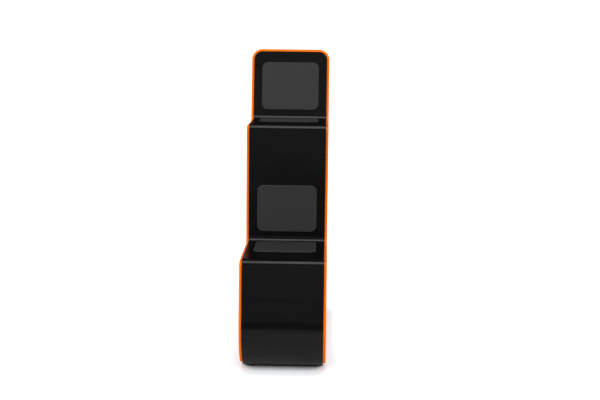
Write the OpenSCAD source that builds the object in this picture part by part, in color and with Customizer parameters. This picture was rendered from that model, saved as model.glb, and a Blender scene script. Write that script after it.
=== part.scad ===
// Two-tier display stand folded from one strip.
// Millimetres, +Z up, the front faces -Y, X is the width.
// The side view is one path that runs from the rear of the base to the top of the back rest.
// Every layer is drawn from that path with its own width, depth and ends.

/* [Overall] */
// Width of the painted strip across the stand
strip_width = 52; // [44:0.5:62]
// Length of the base from the front curve to its rear end
base_length = 132; // [118:1:150]
// Height of the lower lip above the floor
lower_lip_height = 73.5; // [66:0.5:84]
// Height of the upper lip above the floor
upper_lip_height = 138.5; // [126:0.5:150]
// Distance from the lower lip back to the upper lip
tier_depth = 80; // [72:0.5:92]
// Straight length of the upper shelf
upper_shelf_length = 46; // [38:0.5:56]
// Straight length of the top back rest
rest_length = 44; // [34:0.5:52]

/* [Bends] */
// Outer radius of the strip where the base turns up
foot_radius = 30; // [24:0.5:34]
// Outer radius of the strip over each lip
lip_radius = 2.9; // [2.7:0.1:5]
// Face radius of the strip in each shelf corner
corner_radius = 5; // [3.5:0.5:9]
// Backward lean of the front panel in degrees
front_lean = 10; // [6:0.5:14]
// Backward lean of the riser between the tiers in degrees
riser_lean = 5; // [2:0.5:9]
// Backward lean of the top back rest in degrees
rest_lean = 16; // [10:0.5:22]
// Downward slope of both shelves toward the back in degrees
shelf_drop = 8; // [4:0.5:11]

/* [Layers] */
// Thickness of the painted steel strip
strip_thickness = 1.8; // [1.5:0.1:2]
// Thickness of the dark facing on the front side
facing_thickness = 1.5; // [1:0.1:2]
// Thickness of the dark lining on the back side
lining_thickness = 0.5; // [0.3:0.1:0.6]
// Painted margin left bare beside the facing and the lining
edge_margin = 1.6; // [1:0.1:2.6]
// Corner radius at both ends of the strip
end_corner = 7; // [4:0.5:10]
// Angle of the foot curve left bare below the facing in degrees
facing_start = 16; // [13:0.5:24]
// Corner radius at the lower end of the facing
facing_corner = 2.4; // [1.2:0.1:3.5]

/* [Floor mat] */
// Thickness of the grip mat under the base
mat_thickness = 2.4; // [2:0.1:3.2]
// Bare margin at the sides and the rear of the grip mat
mat_margin = 1.8; // [1:0.1:4]
// Gap round the foot curve between the mat's front end and the facing
mat_gap = 1; // [0.5:0.5:3]
// Corner radius of the grip mat
mat_corner = 4; // [3:0.5:8]

/* [Pads] */
// Thickness of the soft pads
pad_thickness = 1.2; // [0.8:0.1:1.8]
// Width of the soft pads across the strip
pad_width = 38; // [30:0.5:41]
// Corner radius of the soft pads
pad_corner = 4; // [2:0.5:6]
// Length of the pad on the lower shelf
lower_seat_length = 40; // [30:0.5:46]
// Length of the pad on the upper shelf
upper_seat_length = 32; // [24:0.5:35]
// Length of the pad on the riser
lower_back_length = 30; // [22:0.5:34]
// Length of the pad on the top back rest
upper_back_length = 32; // [24:0.5:34]
// Distance from a shelf corner bend to the nearest pad
pad_inset = 3; // [1.5:0.5:5]

/* [Hidden] */
$fn = 96;
// Turn of each flat facet round a bend in degrees
facet = 5;
// How far the corner cuts bite past their tangent, which keeps their edges clean
bite = 0.12;
// How far a cut runs on past what it cuts
past = 1;
facing_width = strip_width - 2 * edge_margin;
back_depth = strip_thickness + lining_thickness;
foot_turn = 90 + front_lean;
lower_turn = 90 - front_lean + shelf_drop;
riser_turn = 90 - riser_lean + shelf_drop;
rest_turn = 90 - rest_lean + shelf_drop;
// Turn of the foot curve at which the mat ends
mat_end = facing_start - mat_gap / foot_radius * 180 / PI;
// Straight length of the base, then of the front panel up to the lip bend
base_run = base_length - foot_radius - facing_thickness;
foot_rise = foot_radius * (1 + sin(front_lean));
lip_rise = lip_radius * (1 - sin(front_lean)) + facing_thickness;
front_run = (lower_lip_height - mat_thickness - foot_rise - lip_rise) / cos(front_lean);
// The lower shelf and the riser close the step from one lip to the next
bends = lip_radius + corner_radius;
step_y = tier_depth - bends * (sin(shelf_drop) + cos(riser_lean));
step_z = upper_lip_height - lower_lip_height - bends * (cos(shelf_drop) - sin(riser_lean));
step_det = cos(shelf_drop - riser_lean);
lower_shelf_run = (step_y * cos(riser_lean) - step_z * sin(riser_lean)) / step_det;
riser_run = (step_z * cos(shelf_drop) + step_y * sin(shelf_drop)) / step_det;

// Steps of the side view: [kind, from, to, radius]
// Kind 0 runs straight, 1 bends away from the facing side, 2 bends toward it.
// From and to are lengths on a straight and turned degrees on a bend.
path = [
    [0, 0, base_run, 0],
    [1, 0, foot_turn, foot_radius],
    [0, 0, front_run, 0],
    [1, 0, lower_turn, lip_radius],
    [0, 0, lower_shelf_run, 0],
    [2, 0, riser_turn, corner_radius],
    [0, 0, riser_run, 0],
    [1, 0, riser_turn, lip_radius],
    [0, 0, upper_shelf_length, 0],
    [2, 0, rest_turn, corner_radius],
    [0, 0, rest_length, 0]
];
BASE = 0;
FOOT = 1;
LOWER_SHELF = 4;
RISER = 6;
UPPER_SHELF = 8;
REST = 10;

function ahead(h) = [cos(h), sin(h)];
function outward(h) = [-sin(h), cos(h)];
// Side of the bend's centre: -1 behind the facing side, 1 in front of it
function side(step) = step[0] == 1 ? -1 : 1;
// Place on a step, [point, heading], after a length or a turn from where the step starts
function place(step, at, go) = step[0] == 0
    ? [at[0] + go * ahead(at[1]), at[1]]
    : let (turned = at[1] + side(step) * go)
        [at[0] + side(step) * step[3] * (outward(at[1]) - outward(turned)), turned];
// Place where step number i starts, when the path starts at the given place
function start_of(i, first) = i == 0
    ? first
    : let (at = start_of(i - 1, first)) place(path[i - 1], at, path[i - 1][2]);
// Turns at which a bend gets a corner of its outline
function turns(low, high) = concat([low],
    [for (k = [floor(low / facet + 0.001) + 1 : ceil(high / facet - 0.001) - 1]) k * facet],
    [high]);
// Places along the path from a place in step i to a place in step j
function places(first, i, from, j, to) = concat(
    path[i][0] == 0 ? [place(path[i], start_of(i, first), from)] : [],
    [for (k = [i : j]) if (path[k][0] > 0)
        for (turn = turns(k == i ? from : 0, k == j ? to : path[k][2]))
            place(path[k], start_of(k, first), turn)],
    path[j][0] == 0 ? [place(path[j], start_of(j, first), to)] : []);
// Outline of a layer between two depths, the outer side first and back along the inner one
function outline(marks, low, high) = concat(
    [for (m = marks) m[0] + high * outward(m[1])],
    [for (k = [len(marks) - 1 : -1 : 0]) marks[k][0] + low * outward(marks[k][1])]);

// The stand is centred on the origin from the front and rear of its layers
loose = [[0, mat_thickness], 180];
reach = concat(
    [for (m = places(loose, FOOT, facing_start, REST, rest_length - edge_margin))
        (m[0] + facing_thickness * outward(m[1]))[0]],
    [for (m = places(loose, BASE, 0, REST, rest_length))
        (m[0] - strip_thickness * outward(m[1]))[0]],
    [for (m = places(loose, BASE, edge_margin, REST, rest_length - edge_margin))
        (m[0] - back_depth * outward(m[1]))[0]]);
first_place = [[-(min(reach) + max(reach)) / 2, mat_thickness], 180];

strip_marks = places(first_place, BASE, 0, REST, rest_length);
lining_marks = places(first_place, BASE, edge_margin, REST, rest_length - edge_margin);
facing_marks = places(first_place, FOOT, facing_start, REST, rest_length - edge_margin);
mat_marks = places(first_place, BASE, mat_margin, FOOT, mat_end);

// Puts a drawing on a place of the path: local Y runs along it and local Z points outward.
module at_place(mark) {
    translate([0, mark[0][0], mark[0][1]])
        rotate([mark[1], 0, 0])
            children();
}

// Waste outside two rounded corners of an end at local Y = 0, the material toward +Y.
module corner_waste(width, radius, low, high) {
    inset = radius - bite;
    for (end = [-1, 1])
        difference() {
            translate([end > 0 ? width / 2 - inset : -width / 2 - past, -past, low - past])
                cube([inset + past, inset + past, high - low + 2 * past]);
            translate([end * (width / 2 - inset), inset, low - 2 * past])
                cylinder(h = high - low + 4 * past, r = radius);
        }
}

// One layer of the folded strip, with its own depth, width, ends and end corners.
module layer(marks, low, high, width, first_corner, last_corner) {
    difference() {
        rotate([90, 0, 90])
            linear_extrude(height = width, center = true)
                polygon(outline(marks, low, high));
        at_place(marks[0])
            corner_waste(width, first_corner, low, high);
        at_place(marks[len(marks) - 1])
            rotate([0, 0, 180])
                corner_waste(width, last_corner, low, high);
    }
}

// Flat plate with rounded corners on local Z = 0, its near end at local Y = 0.
module rounded_plate(run, width, radius, thickness) {
    translate([-width / 2, radius, 0])
        cube([width, run - 2 * radius, thickness]);
    translate([-width / 2 + radius, 0, 0])
        cube([width - 2 * radius, run, thickness]);
    for (x = [-1, 1])
        for (y = [radius, run - radius])
            translate([x * (width / 2 - radius), y, 0])
                cylinder(h = thickness, r = radius);
}

// Soft pad on the facing, a distance along a straight of the path.
module pad_on(step, offset, run) {
    at_place(start_of(step, first_place))
        translate([0, offset, facing_thickness])
            rounded_plate(run, pad_width, pad_corner, pad_thickness);
}

// The folded steel strip, painted, that carries everything.
module core_strip() {
    color("#F06B0A")
        layer(strip_marks, -strip_thickness, 0, strip_width, end_corner, end_corner);
}

// Dark facing bonded to the front side, from low on the foot curve to the top.
module front_facing() {
    color("#191919")
        layer(facing_marks, 0, facing_thickness, facing_width,
            facing_corner, end_corner - edge_margin);
}

// Dark lining bonded to the back side over the whole length.
module back_lining() {
    color("#202020")
        layer(lining_marks, -back_depth, -strip_thickness, facing_width,
            end_corner - edge_margin, end_corner - edge_margin);
}

// Rubber mat under the base, the only part that meets the floor, turned up at the front.
module grip_mat() {
    color("#141414")
        layer(mat_marks, 0, mat_thickness, strip_width - 2 * mat_margin,
            mat_corner, mat_corner);
}

// Pad on the lower shelf.
module lower_seat_pad() {
    color("#2A2A2A")
        pad_on(LOWER_SHELF, lower_shelf_run - pad_inset - lower_seat_length, lower_seat_length);
}

// Pad low on the riser, behind the lower shelf.
module lower_back_pad() {
    color("#2A2A2A")
        pad_on(RISER, pad_inset, lower_back_length);
}

// Pad on the upper shelf.
module upper_seat_pad() {
    color("#2A2A2A")
        pad_on(UPPER_SHELF, upper_shelf_length - pad_inset - upper_seat_length, upper_seat_length);
}

// Pad on the top back rest.
module upper_back_pad() {
    color("#2A2A2A")
        pad_on(REST, pad_inset, upper_back_length);
}

core_strip();
front_facing();
back_lining();
grip_mat();
lower_seat_pad();
lower_back_pad();
upper_seat_pad();
upper_back_pad();
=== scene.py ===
"""Two-tier display stand: a painted strip folded from the floor to the top back rest,
with a dark facing, a dark lining, soft pads and a floor mat."""

import math

import bmesh
import bpy
from bpy.props import FloatProperty, FloatVectorProperty, IntProperty, PointerProperty
from mathutils import Euler, Matrix, Vector


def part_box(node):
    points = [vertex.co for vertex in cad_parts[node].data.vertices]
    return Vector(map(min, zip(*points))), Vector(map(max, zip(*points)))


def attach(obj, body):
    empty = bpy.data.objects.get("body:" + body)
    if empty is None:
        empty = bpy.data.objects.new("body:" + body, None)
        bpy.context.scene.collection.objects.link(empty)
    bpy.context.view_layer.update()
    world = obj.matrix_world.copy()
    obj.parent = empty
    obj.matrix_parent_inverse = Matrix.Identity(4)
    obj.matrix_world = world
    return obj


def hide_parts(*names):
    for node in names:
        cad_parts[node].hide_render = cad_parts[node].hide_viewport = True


bl_info = {
    "name": "Controller stand",
    "version": (1, 0, 0),
    "blender": (4, 5, 0),
    "location": "3D View > Sidebar > Stand",
    "description": "Builds the folded two-tier stand, its pads and a plain stage",
    "category": "Object",
}

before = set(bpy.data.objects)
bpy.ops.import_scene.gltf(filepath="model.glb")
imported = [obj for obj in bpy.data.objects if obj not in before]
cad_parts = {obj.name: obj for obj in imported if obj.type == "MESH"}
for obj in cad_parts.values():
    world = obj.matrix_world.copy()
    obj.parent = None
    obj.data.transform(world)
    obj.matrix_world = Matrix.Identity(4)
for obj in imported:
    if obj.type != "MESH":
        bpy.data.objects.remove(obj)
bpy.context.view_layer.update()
MM = 0.001
ROOT = "root"
# Places nearer to each other than this, in metres, count as one place
SAME_PLACE = 1e-5
# Vertices nearer to each other than this, in metres, are merged
WELD = 1e-6
# Edges that turn more sharply than this get a rounded rim
RIM_ANGLE = math.radians(50)
# Faces round each corner of a sheet or a pad, and across each kind of rim
CORNER_FACES = 10
STRIP_RIM_FACES = 4
PAD_RIM_FACES = 4
LAYER_RIM_FACES = 3
# Turn of the foot curve that the facing's lower end takes as one flat
FACING_END_TURN = math.radians(5)
# How much longer than its corner radius the mat's flat front end is
CORNER_ROOM = 1.02
# Linear colours of the floor's paper and of the dark card
PAPER = (0.905, 0.925, 0.935, 1)
FELT = (0.004, 0.004, 0.004, 1)
# What every softbox shines at
AIM = (0, 0, 0.05)
# Width of the camera's sensor in millimetres, and how near and far it sees in metres
SENSOR_WIDTH = 36
SEES_FROM, SEES_TO = 0.01, 100


def length(name, text, value_mm, low_mm=0.0):
    """A size in metres, with its default given in millimetres."""
    return FloatProperty(name=name, description=text, default=value_mm * MM,
                         min=low_mm * MM, unit="LENGTH", precision=5)


def turn(name, text, degrees):
    """An angle, with its default given in degrees."""
    return FloatProperty(name=name, description=text, default=math.radians(degrees),
                         unit="ROTATION")


def tint(name, text, value):
    """A linear colour."""
    return FloatVectorProperty(name=name, description=text, default=value, size=3,
                               subtype="COLOR", min=0.0, max=1.0)


class StandSizes(bpy.types.PropertyGroup):
    """Sizes of the folded strip and its layers."""

    strip_width: length("Strip width", "Width of the painted strip", 52)
    base_length: length("Base length", "From the front curve to the rear end", 132)
    lower_lip: length("Lower lip", "Height of the lower lip above the floor", 73.5)
    upper_lip: length("Upper lip", "Height of the upper lip above the floor", 138.5)
    tier_depth: length("Tier depth", "From the lower lip back to the upper lip", 80)
    upper_shelf: length("Upper shelf", "Straight length of the upper shelf", 46)
    rest: length("Back rest", "Straight length of the top back rest", 44)
    foot_radius: length("Foot radius", "Strip radius where the base turns up", 30)
    lip_radius: length("Lip radius", "Strip radius over each lip", 2.9)
    corner_radius: length("Corner radius", "Strip radius in each shelf corner", 5)
    front_lean: turn("Front lean", "Backward lean of the front panel", 10)
    riser_lean: turn("Riser lean", "Backward lean of the riser", 5)
    rest_lean: turn("Rest lean", "Backward lean of the top back rest", 16)
    shelf_drop: turn("Shelf drop", "Downward slope of both shelves", 8)
    strip_thickness: length("Strip", "Thickness of the painted strip", 1.8)
    facing_thickness: length("Facing", "Thickness of the dark facing", 1.5)
    lining_thickness: length("Lining", "Thickness of the dark lining", 0.5)
    edge_margin: length("Margin", "Painted margin beside the facing", 1.6)
    end_corner: length("End corner", "Corner radius at both strip ends", 7)
    facing_start: turn("Facing start", "Foot curve left bare below the facing", 16)
    facing_corner: length("Facing corner", "Corner radius at the facing's foot", 2.4)
    mat_thickness: length("Mat", "Thickness of the floor mat", 2.4)
    mat_margin: length("Mat margin", "Bare margin beside and behind the floor mat", 1.8)
    mat_gap: length("Mat gap", "Gap round the foot curve between mat and facing", 1)
    mat_corner: length("Mat corner", "Corner radius of the floor mat", 4)
    pad_thickness: length("Pad", "Thickness of the soft pads", 1.2)
    pad_width: length("Pad width", "Width of the soft pads", 38)
    pad_corner: length("Pad corner", "Corner radius of the soft pads", 4)
    pad_inset: length("Pad inset", "From a shelf corner bend to the nearest pad", 3)
    lower_seat: length("Lower seat pad", "Length of the pad on the lower shelf", 40)
    upper_seat: length("Upper seat pad", "Length of the pad on the upper shelf", 32)
    lower_back: length("Lower back pad", "Length of the pad on the riser", 30)
    upper_back: length("Upper back pad", "Length of the pad on the back rest", 32)
    strip_edge: length("Strip edge", "Rounding of the strip's rim", 0.3)
    facing_edge: length("Facing edge", "Rounding of the facing's rim", 0.3)
    lining_edge: length("Lining edge", "Rounding of the lining's rim", 0.15)
    mat_edge: length("Mat edge", "Rounding of the mat's rim", 0.3)
    pad_edge: length("Pad edge", "Rounding of the pads' upper rim", 0.5)
    bend_steps: IntProperty(name="Bend steps", description="Faces round each bend",
                            default=24, min=8, max=64)


class StandFinishes(bpy.types.PropertyGroup):
    """Colours and gloss of the finishes."""

    orange: tint("Orange paint", "Colour of the painted strip", (0.68, 0.114, 0.0006))
    facing: tint("Facing", "Colour of the dark facing", (0.0017, 0.0017, 0.0018))
    lining: tint("Lining", "Colour of the dark lining", (0.007, 0.007, 0.0074))
    pad: tint("Pads", "Colour of the soft pads", (0.005, 0.005, 0.0053))
    mat: tint("Mat", "Colour of the floor mat", (0.004, 0.004, 0.0042))
    facing_gloss: FloatProperty(name="Facing roughness", default=0.22, min=0, max=1,
                                description="Roughness of the dark facing's gloss",
                                subtype="FACTOR")
    paint_gloss: FloatProperty(name="Paint roughness", default=0.27, min=0, max=1,
                               description="Roughness of the orange paint's gloss",
                               subtype="FACTOR")


class StageSettings(bpy.types.PropertyGroup):
    """Camera and lights of the plain studio."""

    lens: FloatProperty(name="Lens", description="Focal length in millimetres",
                        default=85.0, unit="CAMERA")
    eye: FloatVectorProperty(name="Camera place", description="Where the camera stands",
                             default=(0.0240, -0.8684, 0.3223), size=3,
                             subtype="TRANSLATION", unit="LENGTH", precision=5)
    look_left: turn("Look left", "Turn of the camera to the left", 1.029)
    look_down: turn("Look down", "Tilt of the camera below level", 14.846)
    roll: turn("Roll", "Turn of the camera about its own view", 0.572)
    floor_size: length("Floor", "Side of the square floor", 16000)
    card_near: length("Card start", "Distance of the dark card in front of the origin", 175)
    card_far: length("Card end", "Distance at which the dark card ends", 2100)
    card_width: length("Card width", "Width of the dark card", 2400)
    key: FloatProperty(name="Key lights", description="Strength of each front key light",
                       default=2.5)
    key_spread: turn("Key spread", "Angle that each key light fills", 30)
    key_rise: turn("Key rise", "Height of the key lights above level", 32)
    key_swing: turn("Key swing", "Turn of the key lights to the sides", 40)
    overhead: FloatProperty(name="Overhead light", description="Strength of the top light",
                            default=1.2)
    overhead_spread: turn("Overhead spread", "Angle that the top light fills", 38)
    overhead_tilt: turn("Overhead tilt", "Tilt of the top light toward the front", 12)
    strip: FloatProperty(name="Strip light", description="Power of the top strip light",
                         default=6.2)
    fill: FloatProperty(name="Front fill", description="Power of the wide, dim front light",
                        default=9.0)
    back: FloatProperty(name="Back lights", description="Power of each rear softbox",
                        default=1.2)
    room: FloatProperty(name="Room light", description="Strength of the dim room",
                        default=0.1)


# ---- Finishes ----


class Value:
    """A number that varies over a surface. Arithmetic on it adds Math nodes."""

    def __init__(self, finish, socket):
        self.finish = finish
        self.socket = socket

    def math(self, operation, first, second):
        return self.finish.node("ShaderNodeMath", {"operation": operation},
                                {0: first, 1: second})

    def __add__(self, other):
        return self.math("ADD", self, other)

    def __radd__(self, other):
        return self.math("ADD", other, self)

    def __sub__(self, other):
        return self.math("SUBTRACT", self, other)

    def __rsub__(self, other):
        return self.math("SUBTRACT", other, self)

    def __mul__(self, other):
        return self.math("MULTIPLY", self, other)

    def __rmul__(self, other):
        return self.math("MULTIPLY", other, self)


class Finish:
    """A node material, written from its values."""

    def __init__(self, name):
        self.material = bpy.data.materials.new(name)
        self.material.use_nodes = True
        self.tree = self.material.node_tree
        self.tree.nodes.clear()
        self.place = self.node("ShaderNodeTexCoord", output="Object")

    def node(self, kind, settings=None, sockets=None, output=0):
        """Adds a node with its settings and its sockets' values or links."""
        made = self.tree.nodes.new(kind)
        for name, value in (settings or {}).items():
            setattr(made, name, value)
        for name, value in (sockets or {}).items():
            if isinstance(value, Value):
                self.tree.links.new(value.socket, made.inputs[name])
            else:
                made.inputs[name].default_value = value
        return None if output is None else Value(self, made.outputs[output])

    def noise(self, scale, detail=2.0, stretch=(1, 1, 1)):
        """Soft noise of about 1/scale metres, from 0 to 1."""
        at = self.node("ShaderNodeMapping", None, {"Vector": self.place, "Scale": stretch})
        return self.node("ShaderNodeTexNoise", None,
                         {"Vector": at, "Scale": scale, "Detail": detail,
                          "Roughness": 0.55})

    def blend(self, share, first, second):
        """A colour between two, by a share from 0 to 1."""
        return self.node("ShaderNodeMix", {"data_type": "RGBA"},
                         {0: share, 6: (*first, 1), 7: (*second, 1)}, 2)

    def surface(self, **sockets):
        """Ends the material in one surface shader."""
        named = {name.replace("_", " "): value for name, value in sockets.items()}
        shader = self.node("ShaderNodeBsdfPrincipled", None, named)
        self.node("ShaderNodeOutputMaterial", None, {"Surface": shader}, output=None)
        return self.material


def shade(colour, factor):
    """A colour made lighter or darker."""
    return tuple(min(1.0, c * factor) for c in colour)


def orange_paint(finishes):
    """Satin powder coat with a faint uneven skin."""
    paint = Finish("orange_paint")
    peel = paint.noise(1500, 3.0)
    drift = paint.noise(60, 3.0)
    colour = paint.blend(drift, shade(finishes.orange, 0.94), shade(finishes.orange, 1.04))
    relief = paint.node("ShaderNodeBump", None,
                        {"Strength": 0.4, "Distance": 0.0002, "Height": peel})
    return paint.surface(Base_Color=colour, Specular_IOR_Level=0.0, Roughness=0.6,
                         Coat_Weight=0.06 + drift * 0.06, Coat_IOR=1.45,
                         Coat_Roughness=finishes.paint_gloss, Normal=relief)


def dark_facing(finishes):
    """Satin black facing: fine grain, faint streaks across and slow changes of gloss."""
    face = Finish("dark_facing")
    grain = face.noise(5200, 1.0)
    cloud = face.noise(45, 3.0)
    streak = face.noise(820, 3.0, (0.03, 1, 1))
    colour = face.blend(streak * 0.6 + cloud * 0.4, shade(finishes.facing, 0.5),
                        shade(finishes.facing, 1.55))
    relief = face.node("ShaderNodeBump", None, {"Strength": 0.16, "Distance": 0.00003,
                                                "Height": grain * 0.7 + streak * 0.3})
    return face.surface(Base_Color=colour, Specular_IOR_Level=0.0, Roughness=0.5,
                        Coat_Weight=0.12 + cloud * 0.05 + streak * 0.11, Coat_IOR=1.5,
                        Coat_Roughness=finishes.facing_gloss, Normal=relief)


def dark_lining(finishes):
    """Matt black lining with a fine pebbled grain."""
    lining = Finish("dark_lining")
    grain = lining.noise(2600, 2.0)
    cloud = lining.noise(55, 3.0)
    colour = lining.blend(cloud, shade(finishes.lining, 0.85), shade(finishes.lining, 1.2))
    relief = lining.node("ShaderNodeBump", None,
                         {"Strength": 0.35, "Distance": 0.00006, "Height": grain})
    return lining.surface(Base_Color=colour, Specular_IOR_Level=0.2,
                          Roughness=0.52 + cloud * 0.1, Normal=relief)


def soft_pad(finishes):
    """Matt silicone: a fine skin with faint dust and handling marks."""
    pad = Finish("soft_pad")
    skin = pad.noise(3800, 2.0)
    dust = pad.noise(240, 5.0)
    colour = pad.blend(dust, shade(finishes.pad, 0.8), shade(finishes.pad, 1.35))
    relief = pad.node("ShaderNodeBump", None,
                      {"Strength": 0.4, "Distance": 0.00005, "Height": skin})
    return pad.surface(Base_Color=colour, Specular_IOR_Level=0.3,
                       Roughness=0.62 + dust * 0.14, Normal=relief)


def mat_rubber(finishes):
    """Grippy black rubber with small raised cells."""
    rubber = Finish("grip_rubber")
    cells = rubber.node("ShaderNodeTexVoronoi", {"feature": "SMOOTH_F1"},
                        {"Vector": rubber.place, "Scale": 650.0, "Smoothness": 0.4})
    dust = rubber.noise(180, 4.0)
    colour = rubber.blend(dust, shade(finishes.mat, 0.8), shade(finishes.mat, 1.5))
    relief = rubber.node("ShaderNodeBump", None,
                         {"Strength": 0.5, "Distance": 0.0002, "Height": 1 - cells})
    return rubber.surface(Base_Color=colour, Specular_IOR_Level=0.15,
                          Roughness=0.7 + dust * 0.12, Normal=relief)


# ---- Side view of the fold ----

STRAIGHT, AWAY, TOWARD = 0, -1, 1
LOWER_SHELF, RISER, UPPER_SHELF, REST = 4, 6, 8, 10


def outward(heading):
    """Direction from the strip to its facing side, for a heading in the side view."""
    return Vector((0, -math.sin(heading), math.cos(heading)))


def ahead(heading):
    """Direction along the strip."""
    return Vector((0, math.cos(heading), math.sin(heading)))


def folds(sizes):
    """Steps of the side view from the rear of the base: (kind, length or angle, radius)."""
    lean, riser, drop = sizes.front_lean, sizes.riser_lean, sizes.shelf_drop
    foot, lip = sizes.foot_radius, sizes.lip_radius
    quarter = math.pi / 2
    base = sizes.base_length - foot - sizes.facing_thickness
    panel = (sizes.lower_lip - sizes.mat_thickness - foot * (1 + math.sin(lean))
             - lip * (1 - math.sin(lean)) - sizes.facing_thickness) / math.cos(lean)
    bends = lip + sizes.corner_radius
    step_y = sizes.tier_depth - bends * (math.sin(drop) + math.cos(riser))
    step_z = sizes.upper_lip - sizes.lower_lip - bends * (math.cos(drop) - math.sin(riser))
    whole = math.cos(drop - riser)
    shelf = (step_y * math.cos(riser) - step_z * math.sin(riser)) / whole
    rise = (step_z * math.cos(drop) + step_y * math.sin(drop)) / whole
    return [
        (STRAIGHT, base, 0),
        (AWAY, quarter + lean, foot),
        (STRAIGHT, panel, 0),
        (AWAY, quarter - lean + drop, lip),
        (STRAIGHT, shelf, 0),
        (TOWARD, quarter - riser + drop, sizes.corner_radius),
        (STRAIGHT, rise, 0),
        (AWAY, quarter - riser + drop, lip),
        (STRAIGHT, sizes.upper_shelf, 0),
        (TOWARD, quarter - sizes.rest_lean + drop, sizes.corner_radius),
        (STRAIGHT, sizes.rest, 0),
    ]


def bend_centre(step, point, heading):
    """Centre of a bend that starts at a point."""
    kind, _, radius = step
    return point + kind * radius * outward(heading)


def after(step, point, heading, go):
    """Point and heading after a length of a straight or an angle of a bend."""
    kind, _, radius = step
    if kind == STRAIGHT:
        return point + go * ahead(heading), heading
    turned = heading + kind * go
    return bend_centre(step, point, heading) - kind * radius * outward(turned), turned


def place_of(steps, start, number):
    """Point and heading where a step starts."""
    point, heading = start
    for step in steps[:number]:
        point, heading = after(step, point, heading, step[1])
    return point, heading


def strip_start(sizes):
    """Rear end of the base, on the strip's under face."""
    low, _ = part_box("core_strip")
    rear = low.y + (sizes.base_length - sizes.facing_thickness)
    return Vector((0, rear, low.z)), math.pi


# ---- Modelling ----


def edit(piece):
    """Edit mode on one piece with nothing selected; returns its edit mesh."""
    bpy.ops.object.select_all(action="DESELECT")
    piece.select_set(True)
    bpy.context.view_layer.objects.active = piece
    bpy.ops.object.mode_set(mode="EDIT")
    bpy.ops.mesh.select_mode(type="VERT")
    bpy.ops.mesh.select_all(action="DESELECT")
    return bmesh.from_edit_mesh(piece.data)


def edit_again(piece):
    """The edit mesh of a piece that is in edit mode, with nothing selected."""
    bpy.ops.mesh.select_all(action="DESELECT")
    return bmesh.from_edit_mesh(piece.data)


def pick(mesh, data, items, wanted):
    """Selects the vertices or edges that a test accepts."""
    for item in items:
        if wanted(item):
            item.select_set(True)
    mesh.select_flush_mode()
    bmesh.update_edit_mesh(data)


def apply_modifier(piece, kind, **settings):
    """Adds a modifier with its settings and applies it."""
    bpy.ops.object.select_all(action="DESELECT")
    piece.select_set(True)
    bpy.context.view_layer.objects.active = piece
    made = piece.modifiers.new(kind.lower(), kind)
    for name, value in settings.items():
        setattr(made, name, value)
    bpy.ops.object.modifier_apply(modifier=made.name)


def smooth(piece):
    """Smooths the faces and keeps the flats flat."""
    bpy.ops.object.shade_smooth()
    apply_modifier(piece, "WEIGHTED_NORMAL", weight=50, keep_sharp=False)


def finish_sheet(sheet, thickness, edge, rim_faces=LAYER_RIM_FACES):
    """Gives a sheet its thickness, away from the facing side, and its rounded rim."""
    apply_modifier(sheet, "SOLIDIFY", thickness=thickness, offset=-1, use_even_offset=True)
    apply_modifier(sheet, "BEVEL", width=edge, segments=rim_faces, limit_method="ANGLE",
                   angle_limit=RIM_ANGLE)
    smooth(sheet)


def settle(piece, node, finish):
    """Names a finished piece, gives it its finish and lets it stand for its CAD node."""
    piece.name = piece.data.name = "dressed_" + node
    piece.data.materials.clear()
    piece.data.materials.append(finish)
    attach(piece, ROOT)
    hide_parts(node)
    return piece


def end_edge(width, point):
    """A sheet's first edge, across the stand at a point."""
    bpy.ops.object.select_all(action="DESELECT")
    bpy.ops.mesh.primitive_plane_add(size=1, location=(0, 0, 0))
    sheet = bpy.context.object
    mesh = edit(sheet)
    pick(mesh, sheet.data, mesh.verts, lambda v: v.co.y > 0)
    bpy.ops.mesh.delete(type="VERT")
    bpy.ops.mesh.select_all(action="SELECT")
    bpy.ops.transform.resize(value=(width, 1, 1))
    bpy.ops.transform.translate(value=point + Vector((0, 0.5, 0)))
    return sheet


def round_corners(sheet, near, radius):
    """Rounds a sheet's two corners at one end."""
    mesh = edit(sheet)
    pick(mesh, sheet.data, mesh.verts,
         lambda v: max(abs(v.co.y - near.y), abs(v.co.z - near.z)) < SAME_PLACE)
    bpy.ops.mesh.bevel(offset=radius, segments=CORNER_FACES, affect="VERTICES",
                       clamp_overlap=False)
    bpy.ops.object.mode_set(mode="OBJECT")


def unfold(sizes, steps, point, heading):
    """Draws a sheet on from its first edge: straights are extruded and bends are spun."""
    for step in steps:
        kind, amount, _ = step
        if kind == STRAIGHT:
            bpy.ops.mesh.extrude_region_move(
                TRANSFORM_OT_translate={"value": amount * ahead(heading)})
        else:
            bpy.ops.mesh.spin(steps=sizes.bend_steps, angle=amount,
                              center=bend_centre(step, point, heading), axis=(-kind, 0, 0))
        point, heading = after(step, point, heading, amount)
    return point, heading


def flat_to(depth, here, there):
    """Draws a sheet on with one flat between two places of the fold."""
    run = there[0] + depth * outward(there[1]) - here[0] - depth * outward(here[1])
    bpy.ops.mesh.extrude_region_move(TRANSFORM_OT_translate={"value": run})
    return there


def folded_sheet(sizes, width, depth, steps, start, corners, lead=None, tail=None):
    """A folded sheet at a depth of the strip, its end corners rounded.

    A short flat may run to a lead before the steps, and to a tail after them."""
    first = start[0] + depth * outward(start[1])
    sheet = end_edge(width, first)
    here = flat_to(depth, start, lead) if lead else start
    here = unfold(sizes, steps, *here)
    point, heading = flat_to(depth, here, tail) if tail else here
    last = point + depth * outward(heading)
    bpy.ops.mesh.select_all(action="SELECT")
    bpy.ops.mesh.remove_doubles(threshold=WELD)
    bpy.ops.mesh.normals_make_consistent(inside=False)
    mesh = bmesh.from_edit_mesh(sheet.data)
    top = max(mesh.faces, key=lambda f: f.calc_center_median().z)
    if top.normal.dot(outward(heading)) < 0:
        bpy.ops.mesh.flip_normals()
    bpy.ops.object.mode_set(mode="OBJECT")
    round_corners(sheet, first, corners[0])
    round_corners(sheet, last, corners[1])
    return sheet


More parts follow.
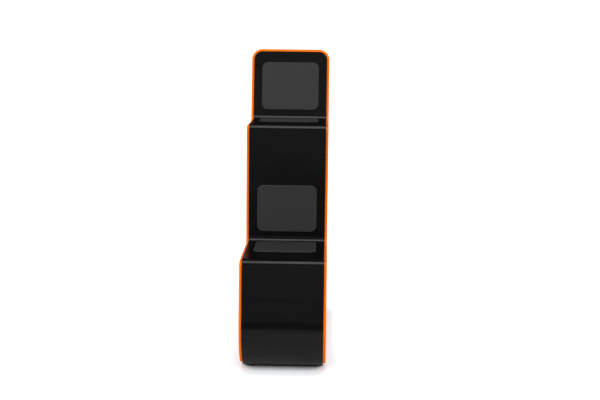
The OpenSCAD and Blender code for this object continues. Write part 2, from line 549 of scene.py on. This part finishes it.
def trimmed(steps, number, take):
    """Steps with one of them made shorter."""
    kind, amount, radius = steps[number]
    return [*steps[:number], (kind, amount - take, radius), *steps[number + 1:]]


def rounded_plate(run, width, thickness, corner, edge, point, heading):
    """A flat plate with rounded corners and a soft upper rim, laid on the strip."""
    bpy.ops.object.select_all(action="DESELECT")
    middle = point + ahead(heading) * (run / 2) + outward(heading) * (thickness / 2)
    bpy.ops.mesh.primitive_cube_add(size=1, location=middle, rotation=(heading, 0, 0),
                                    scale=(width, run, thickness))
    plate = bpy.context.object
    bpy.ops.object.transform_apply(location=False, rotation=False, scale=True)
    mesh = edit(plate)
    bpy.ops.mesh.select_mode(type="EDGE")
    pick(mesh, plate.data, mesh.edges,
         lambda e: abs(e.verts[0].co.z - e.verts[1].co.z) > thickness / 2)
    bpy.ops.mesh.bevel(offset=corner, segments=CORNER_FACES, affect="EDGES")
    mesh = edit_again(plate)
    pick(mesh, plate.data, mesh.edges,
         lambda e: min(v.co.z for v in e.verts) > thickness / 2 - SAME_PLACE)
    bpy.ops.mesh.bevel(offset=edge, segments=PAD_RIM_FACES, affect="EDGES")
    bpy.ops.object.mode_set(mode="OBJECT")
    bpy.ops.object.transform_apply(location=True, rotation=True, scale=True)
    smooth(plate)
    return plate


# ---- Pieces ----


class PieceOperator:
    """What every piece of the stand has in common."""

    bl_options = {"REGISTER", "UNDO"}

    @staticmethod
    def sizes(context):
        return context.scene.stand_sizes

    @staticmethod
    def finishes(context):
        return context.scene.stand_finishes


class STAND_OT_strip(PieceOperator, bpy.types.Operator):
    """Folds the painted steel strip"""

    bl_idname = "stand.strip"
    bl_label = "Folded strip"

    def execute(self, context):
        s = self.sizes(context)
        sheet = folded_sheet(s, s.strip_width, 0.0, folds(s), strip_start(s),
                             (s.end_corner, s.end_corner))
        finish_sheet(sheet, s.strip_thickness, s.strip_edge, STRIP_RIM_FACES)
        settle(sheet, "core_strip", orange_paint(self.finishes(context)))
        return {"FINISHED"}


class STAND_OT_facing(PieceOperator, bpy.types.Operator):
    """Lays the dark facing on the front side, from low on the foot curve to the top"""

    bl_idname = "stand.facing"
    bl_label = "Front facing"

    def execute(self, context):
        s = self.sizes(context)
        steps = folds(s)
        base_end = place_of(steps, strip_start(s), 1)
        # The first degrees are one flat, wide enough for the rounded corners
        flat_end = s.facing_start + FACING_END_TURN
        start = after(steps[1], *base_end, s.facing_start)
        lead = after(steps[1], *base_end, flat_end)
        steps = trimmed(trimmed(steps, 1, flat_end), REST, s.edge_margin)
        corners = s.facing_corner, s.end_corner - s.edge_margin
        sheet = folded_sheet(s, s.strip_width - 2 * s.edge_margin, s.facing_thickness,
                             steps[1:], start, corners, lead)
        finish_sheet(sheet, s.facing_thickness, s.facing_edge)
        settle(sheet, "front_facing", dark_facing(self.finishes(context)))
        return {"FINISHED"}


class STAND_OT_lining(PieceOperator, bpy.types.Operator):
    """Lays the dark lining on the back side over the whole length"""

    bl_idname = "stand.lining"
    bl_label = "Back lining"

    def execute(self, context):
        s = self.sizes(context)
        point, heading = strip_start(s)
        start = point + s.edge_margin * ahead(heading), heading
        steps = trimmed(trimmed(folds(s), 0, s.edge_margin), REST, s.edge_margin)
        corner = s.end_corner - s.edge_margin
        sheet = folded_sheet(s, s.strip_width - 2 * s.edge_margin, -s.strip_thickness,
                             steps, start, (corner, corner))
        finish_sheet(sheet, s.lining_thickness, s.lining_edge)
        settle(sheet, "back_lining", dark_lining(self.finishes(context)))
        return {"FINISHED"}


class STAND_OT_pads(PieceOperator, bpy.types.Operator):
    """Sticks the soft pads on the shelves, the riser and the back rest"""

    bl_idname = "stand.pads"
    bl_label = "Soft pads"

    def execute(self, context):
        s = self.sizes(context)
        steps, start = folds(s), strip_start(s)
        finish = soft_pad(self.finishes(context))
        pads = {
            "lower_seat_pad": (LOWER_SHELF, s.lower_seat, True),
            "lower_back_pad": (RISER, s.lower_back, False),
            "upper_seat_pad": (UPPER_SHELF, s.upper_seat, True),
            "upper_back_pad": (REST, s.upper_back, False),
        }
        for node, (number, run, from_far_end) in pads.items():
            point, heading = place_of(steps, start, number)
            offset = steps[number][1] - s.pad_inset - run if from_far_end else s.pad_inset
            seat = point + offset * ahead(heading) + s.facing_thickness * outward(heading)
            pad = rounded_plate(run, s.pad_width, s.pad_thickness, s.pad_corner,
                                s.pad_edge, seat, heading)
            settle(pad, node, finish)
        return {"FINISHED"}


class STAND_OT_mat(PieceOperator, bpy.types.Operator):
    """Sticks the rubber mat under the base, turned up at the front"""

    bl_idname = "stand.mat"
    bl_label = "Floor mat"

    def execute(self, context):
        s = self.sizes(context)
        steps = folds(s)
        point, heading = strip_start(s)
        start = point + s.mat_margin * ahead(heading), heading
        # The last degrees are one flat, wide enough for the rounded corners
        front = s.facing_start - s.mat_gap / s.foot_radius
        flat_turn = CORNER_ROOM * s.mat_corner / (s.foot_radius + s.mat_thickness)
        tail = after(steps[1], *place_of(steps, strip_start(s), 1), front)
        steps = [trimmed(steps, 0, s.mat_margin)[0],
                 (AWAY, front - flat_turn, s.foot_radius)]
        sheet = folded_sheet(s, s.strip_width - 2 * s.mat_margin, s.mat_thickness, steps,
                             start, (s.mat_corner, s.mat_corner), tail=tail)
        finish_sheet(sheet, s.mat_thickness, s.mat_edge)
        settle(sheet, "grip_mat", mat_rubber(self.finishes(context)))
        return {"FINISHED"}


# ---- Stage ----


def plain_floor(size):
    """A plain pale floor, wide enough to fill every view."""
    bpy.ops.object.select_all(action="DESELECT")
    bpy.ops.mesh.primitive_plane_add(size=size, location=(0, 0, 0))
    floor = bpy.context.object
    floor.name = "floor"
    paper = Finish("pale_paper")
    floor.data.materials.append(paper.surface(Base_Color=PAPER, Roughness=0.9))


def dark_card(near, far, width):
    """A dark card on the floor in front of the stand, seen only in reflections."""
    bpy.ops.object.select_all(action="DESELECT")
    bpy.ops.mesh.primitive_plane_add(size=1, location=(0, -(near + far) / 2, MM))
    card = bpy.context.object
    card.name = "dark_card"
    card.scale = (width, far - near, 1)
    bpy.ops.object.transform_apply(location=True, rotation=True, scale=True)
    felt = Finish("black_card")
    card.data.materials.append(felt.surface(Base_Color=FELT, Specular_IOR_Level=0.0,
                                            Roughness=1.0))
    card.visible_camera = False
    card.visible_shadow = False


def softbox(name, place, width, height, power):
    """A rectangular softbox that shines at the stand, unseen by the camera."""
    bpy.ops.object.light_add(type="AREA", location=place)
    box = bpy.context.object
    box.name = name
    box.data.shape = "RECTANGLE"
    box.data.size = width
    box.data.size_y = height
    box.data.energy = power
    box.visible_camera = False
    box.rotation_euler = (Vector(AIM) - Vector(place)).to_track_quat("-Z", "Y").to_euler()


def far_light(name, strength, spread, tilt, swing):
    """A distant round light, tilted from overhead toward the front and swung sideways."""
    bpy.ops.object.light_add(type="SUN", location=(0, 0, 2), rotation=(tilt, 0, swing))
    light = bpy.context.object
    light.name = name
    light.data.energy = strength
    light.data.angle = spread


def dim_room(scene, strength):
    """A plain, dim room all round the stage."""
    world = bpy.data.worlds.new("dim_room")
    world.use_nodes = True
    background = world.node_tree.nodes["Background"]
    background.inputs["Color"].default_value = (1, 1, 1, 1)
    background.inputs["Strength"].default_value = strength
    scene.world = world


def set_camera(scene, stage):
    """The scene's camera, aimed and rolled as the stage settings say."""
    bpy.ops.object.camera_add(location=stage.eye)
    camera = bpy.context.object
    camera.name = "camera"
    camera.data.lens = stage.lens
    camera.data.sensor_width = SENSOR_WIDTH
    camera.data.clip_start, camera.data.clip_end = SEES_FROM, SEES_TO
    aimed = Euler((math.pi / 2 - stage.look_down, 0, stage.look_left)).to_matrix()
    rolled = aimed @ Matrix.Rotation(stage.roll, 3, "Z")
    camera.rotation_euler = rolled.to_euler()
    scene.camera = camera


class STAND_OT_stage(bpy.types.Operator):
    """Sets the floor, the lights and the camera"""

    bl_idname = "stand.stage"
    bl_label = "Stage"
    bl_options = {"REGISTER", "UNDO"}

    def execute(self, context):
        stage = context.scene.stand_stage
        plain_floor(stage.floor_size)
        dark_card(stage.card_near, stage.card_far, stage.card_width)
        key_tilt = math.pi / 2 - stage.key_rise
        far_light("key_left", stage.key, stage.key_spread, key_tilt, -stage.key_swing)
        far_light("key_right", stage.key, stage.key_spread, key_tilt, stage.key_swing)
        far_light("overhead", stage.overhead, stage.overhead_spread, stage.overhead_tilt, 0)
        softbox("strip_light", (0, -0.27, 1.34), 0.3, 0.85, stage.strip)
        softbox("front_fill", (0, -2.2, 0.6), 3.0, 1.4, stage.fill)
        softbox("back_left", (-0.9, 0.8, 0.7), 0.7, 0.7, stage.back)
        softbox("back_right", (0.9, 0.8, 0.7), 0.7, 0.7, stage.back)
        dim_room(context.scene, stage.room)
        context.scene.view_settings.view_transform = "Standard"
        set_camera(context.scene, stage)
        return {"FINISHED"}


class STAND_PT_panel(bpy.types.Panel):
    """Buttons that build the stand and its stage."""

    bl_label = "Controller stand"
    bl_idname = "STAND_PT_panel"
    bl_space_type = "VIEW_3D"
    bl_region_type = "UI"
    bl_category = "Stand"

    def draw(self, context):
        for operator in OPERATORS:
            self.layout.operator(operator.bl_idname)
        for group in (context.scene.stand_sizes, context.scene.stand_finishes,
                      context.scene.stand_stage):
            box = self.layout.box()
            for name in group.__annotations__:
                box.prop(group, name)


OPERATORS = (STAND_OT_strip, STAND_OT_facing, STAND_OT_lining, STAND_OT_pads,
             STAND_OT_mat, STAND_OT_stage)
GROUPS = {"stand_sizes": StandSizes, "stand_finishes": StandFinishes,
          "stand_stage": StageSettings}


def register():
    """Adds the settings, the buttons and the panel."""
    for name, group in GROUPS.items():
        bpy.utils.register_class(group)
        setattr(bpy.types.Scene, name, PointerProperty(type=group))
    for operator in OPERATORS:
        bpy.utils.register_class(operator)
    bpy.utils.register_class(STAND_PT_panel)


def unregister():
    """Takes them away again."""
    bpy.utils.unregister_class(STAND_PT_panel)
    for operator in reversed(OPERATORS):
        bpy.utils.unregister_class(operator)
    for name, group in reversed(GROUPS.items()):
        delattr(bpy.types.Scene, name)
        bpy.utils.unregister_class(group)


def main():
    """Builds the stand and its stage."""
    register()
    bpy.ops.stand.strip()
    bpy.ops.stand.facing()
    bpy.ops.stand.lining()
    bpy.ops.stand.pads()
    bpy.ops.stand.mat()
    bpy.ops.stand.stage()


if __name__ == "__main__":
    main()
